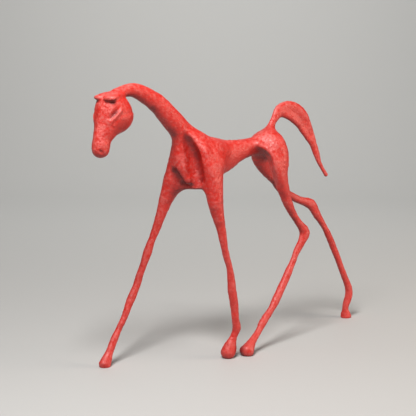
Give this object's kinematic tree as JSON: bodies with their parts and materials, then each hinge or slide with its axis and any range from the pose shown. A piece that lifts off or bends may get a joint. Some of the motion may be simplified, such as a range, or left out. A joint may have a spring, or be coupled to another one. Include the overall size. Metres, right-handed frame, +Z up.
{
  "type": "horse statue",
  "caption": "Cast iron striding foal figure with very long thin legs, arched neck and raised curved tail, painted red, standing on flat hoof soles.",
  "frame": {"origin": "on the ground under the middle of the statue's outline", "axes": "+X the way the horse faces, +Y its left side, +Z up"},
  "size_m": [0.4004, 0.0802, 0.3016],
  "materials": {
    "red_paint": "satin"
  },
  "bodies": {
    "root": {"horse": "red_paint"}
  },
  "joints": []
}
